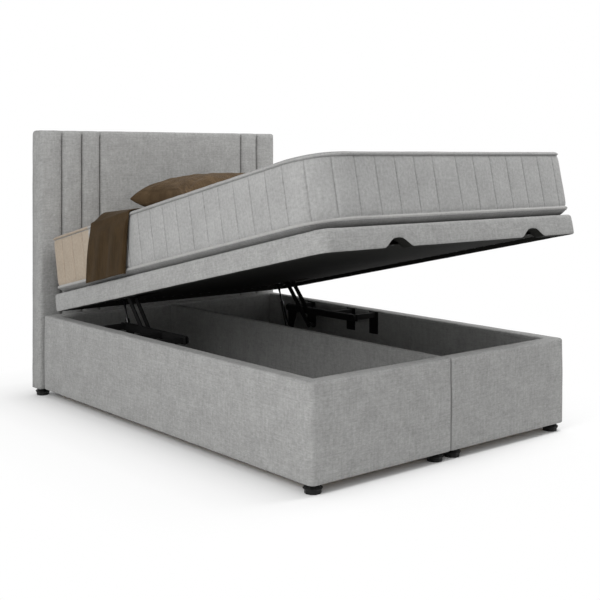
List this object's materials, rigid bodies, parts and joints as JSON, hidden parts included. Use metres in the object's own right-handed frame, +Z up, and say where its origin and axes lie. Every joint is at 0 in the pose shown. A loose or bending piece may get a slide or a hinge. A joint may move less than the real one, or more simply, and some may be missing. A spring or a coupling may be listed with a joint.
{
  "type": "ottoman storage bed",
  "caption": "Upholstered storage bed with a tall headboard; its mattress platform lifts on linked arms and gas struts over a divided box.",
  "frame": {"origin": "centre of the bounding box on the floor, at the pose of the picture with the platform part open", "axes": "+X across the width, +Y from the foot to the headboard, +Z up; left is -X, the side with the throw"},
  "size_m": [1.44, 2.1402, 1.284],
  "materials": {
    "upholstery": "matte",
    "lining": "matte",
    "covered_board": "matte",
    "board": "matte",
    "timber": "matte",
    "black_steel": "satin",
    "strut_black": "gloss",
    "strut_rod": "polished",
    "fixings": "satin",
    "glide": "satin",
    "dust_cloth": "matte",
    "mattress": "matte",
    "pillow": "matte",
    "throw": "matte"
  },
  "bodies": {
    "base": {"base_bracket_screws": "fixings", "base_foot_board_left": "timber", "base_foot_board_right": "timber", "base_foot_cover_left": "upholstery", "base_foot_cover_right": "upholstery", "base_head_board": "timber", "base_head_cover": "upholstery", "base_pivot_pins": "fixings", "base_side_board_left": "timber", "base_side_board_right": "timber", "base_side_cover_left": "upholstery", "base_side_cover_right": "upholstery", "corner_plates": "black_steel", "divider_board_left": "covered_board", "divider_board_right": "covered_board", "divider_bolts": "fixings", "floor_battens": "timber", "floor_panel_left": "board", "floor_panel_right": "board", "foot_lining": "lining", "glides": "glide", "head_lining": "lining", "headboard_board": "timber", "headboard_bolts": "fixings", "headboard_cover": "upholstery", "lower_bracket_left": "black_steel", "lower_bracket_right": "black_steel", "mechanism_console_left": "black_steel", "mechanism_console_right": "black_steel", "side_lining_left": "lining", "side_lining_right": "lining"},
    "front_link_left": {"front_link_left": "black_steel"},
    "platform": {"deck_board_foot": "board", "deck_board_head": "board", "dust_cloth": "dust_cloth", "mattress": "mattress", "pillow": "pillow", "platform_bearer_left": "timber", "platform_bearer_right": "timber", "platform_bracket_screws": "fixings", "platform_cross_bearers": "timber", "platform_foot_cover": "upholstery", "platform_foot_rail": "timber", "platform_head_cover": "upholstery", "platform_head_rail": "timber", "platform_pivot_pins": "fixings", "platform_side_cover_left": "upholstery", "platform_side_cover_right": "upholstery", "platform_side_rail_left": "timber", "platform_side_rail_right": "timber", "throw": "throw", "upper_bracket_left": "black_steel", "upper_bracket_right": "black_steel"},
    "front_link_right": {"front_link_right": "black_steel"},
    "rear_link_left": {"rear_link_left": "black_steel"},
    "rear_link_right": {"rear_link_right": "black_steel"},
    "strut_cylinder_left": {"strut_cylinder_left": "strut_black"},
    "strut_rod_left": {"strut_rod_left": "strut_rod"},
    "strut_cylinder_right": {"strut_cylinder_right": "strut_black"},
    "strut_rod_right": {"strut_rod_right": "strut_rod"}
  },
  "joints": [
    {"name": "front_link_left_pivot", "type": "hinge", "parent": "base", "child": "front_link_left", "pos_m": [-0.4855, 0.37411, 0.3026], "axis": [1, 0, 0], "range_deg": [-25.95, 38.37]},
    {"name": "platform_lift", "type": "hinge", "parent": "front_link_left", "child": "platform", "pos_m": [-0.4855, 0.55057, 0.50384], "axis": [-1, 0, 0], "range_deg": [-37.99, 56.21]},
    {"name": "front_link_right_pivot", "type": "hinge", "parent": "base", "child": "front_link_right", "pos_m": [0.4855, 0.37411, 0.3026], "axis": [1, 0, 0], "range_deg": [-25.95, 38.37]},
    {"name": "rear_link_left_pivot", "type": "hinge", "parent": "base", "child": "rear_link_left", "pos_m": [-0.4855, 0.43261, 0.3723], "axis": [1, 0, 0], "range_deg": [-29.12, 43.06]},
    {"name": "strut_left_pivot", "type": "hinge", "parent": "base", "child": "strut_cylinder_left", "pos_m": [-0.4645, 0.55811, 0.262], "axis": [1, 0, 0], "range_deg": [-26.24, 38.8]},
    {"name": "strut_left_stroke", "type": "slide", "parent": "strut_cylinder_left", "child": "strut_rod_left", "axis": [0, 0.3376, 0.9413], "range_m": [-0.027, 0.0398]},
    {"name": "rear_link_right_pivot", "type": "hinge", "parent": "base", "child": "rear_link_right", "pos_m": [0.4855, 0.43261, 0.3723], "axis": [1, 0, 0], "range_deg": [-29.12, 43.06]},
    {"name": "strut_right_pivot", "type": "hinge", "parent": "base", "child": "strut_cylinder_right", "pos_m": [0.4645, 0.55811, 0.262], "axis": [1, 0, 0], "range_deg": [-26.24, 38.8]},
    {"name": "strut_right_stroke", "type": "slide", "parent": "strut_cylinder_right", "child": "strut_rod_right", "axis": [0, 0.3376, 0.9413], "range_m": [-0.027, 0.0398]}
  ],
  "couplings": [
    {"joint": "front_link_left_pivot", "follows": "platform_lift", "ratio": 0.68153},
    {"joint": "front_link_right_pivot", "follows": "platform_lift", "ratio": 0.68153},
    {"joint": "rear_link_left_pivot", "follows": "platform_lift", "ratio": 0.76497},
    {"joint": "rear_link_right_pivot", "follows": "platform_lift", "ratio": 0.76497},
    {"joint": "strut_left_pivot", "follows": "platform_lift", "ratio": 0.68917},
    {"joint": "strut_right_pivot", "follows": "platform_lift", "ratio": 0.68917},
    {"joint": "strut_left_stroke", "follows": "platform_lift", "m_per_rad": 0.040414},
    {"joint": "strut_right_stroke", "follows": "platform_lift", "m_per_rad": 0.040414}
  ]
}
